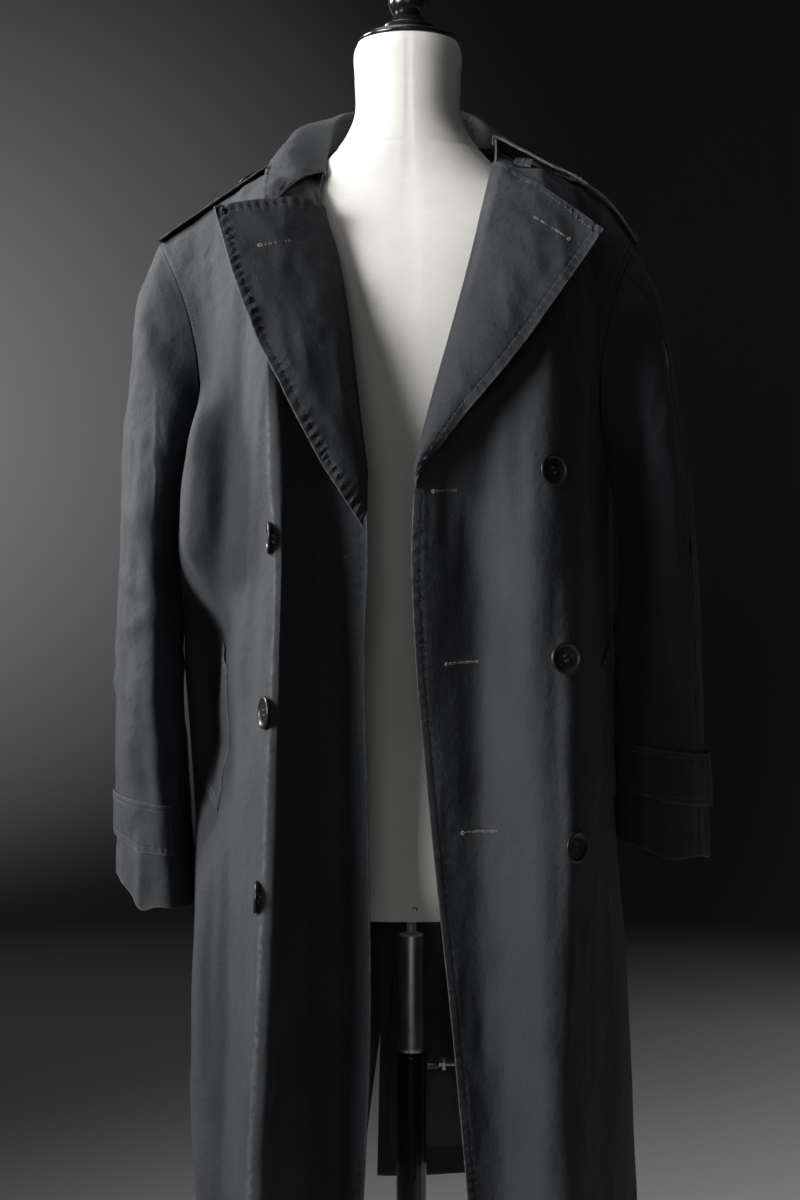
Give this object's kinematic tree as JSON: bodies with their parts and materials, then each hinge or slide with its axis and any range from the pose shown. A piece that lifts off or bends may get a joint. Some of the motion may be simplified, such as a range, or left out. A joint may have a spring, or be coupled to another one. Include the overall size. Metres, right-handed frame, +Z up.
{
  "type": "trench coat on a dress form",
  "caption": "Long double-breasted trench coat worn open on a limbless dress form, with broad lapels, shoulder straps, cuff straps and slanted pocket welts, on a post with a round base.",
  "frame": {"origin": "centre of the base's underside, on the axis of the stand's post", "axes": "+Z up along the post; -Y is the way the coat's front faces; +X is to the right of someone who looks at the front"},
  "size_m": [0.5967, 0.4104, 1.6556],
  "materials": {
    "gabardine": "matt cotton gabardine, charcoal grey",
    "lining": "satin lining, near black",
    "horn": "polished dark grey",
    "canvas": "tight ecru canvas over a padded shell",
    "black_gloss": "gloss black lacquer",
    "steel": "brushed"
  },
  "bodies": {
    "root": {"front_left": "gabardine", "front_right": "gabardine", "back_left": "gabardine", "back_right": "gabardine", "lining_left": "lining", "lining_right": "lining", "sleeve_left_top": "gabardine", "sleeve_left_under": "gabardine", "sleeve_right_top": "gabardine", "sleeve_right_under": "gabardine", "lapel_left": "gabardine", "lapel_right": "gabardine", "collar_stand": "gabardine", "collar_leaf": "gabardine", "throat_tab": "gabardine", "pocket_welt_left": "gabardine", "pocket_welt_right": "gabardine", "epaulette_left": "gabardine", "epaulette_right": "gabardine", "cuff_strap_left": "gabardine", "cuff_strap_right": "gabardine", "button_left_1": "horn", "button_left_2": "horn", "button_left_3": "horn", "button_right_1": "horn", "button_right_2": "horn", "button_right_3": "horn", "epaulette_button_left": "horn", "epaulette_button_right": "horn", "cuff_button_left": "horn", "cuff_button_right": "horn", "bust": "canvas", "neck_cap": "black_gloss", "finial": "black_gloss", "post_bolt": "steel", "steel_tube": "steel", "column": "black_gloss", "screw_boss": "black_gloss", "clamp_screw": "steel", "base": "black_gloss"}
  },
  "joints": []
}
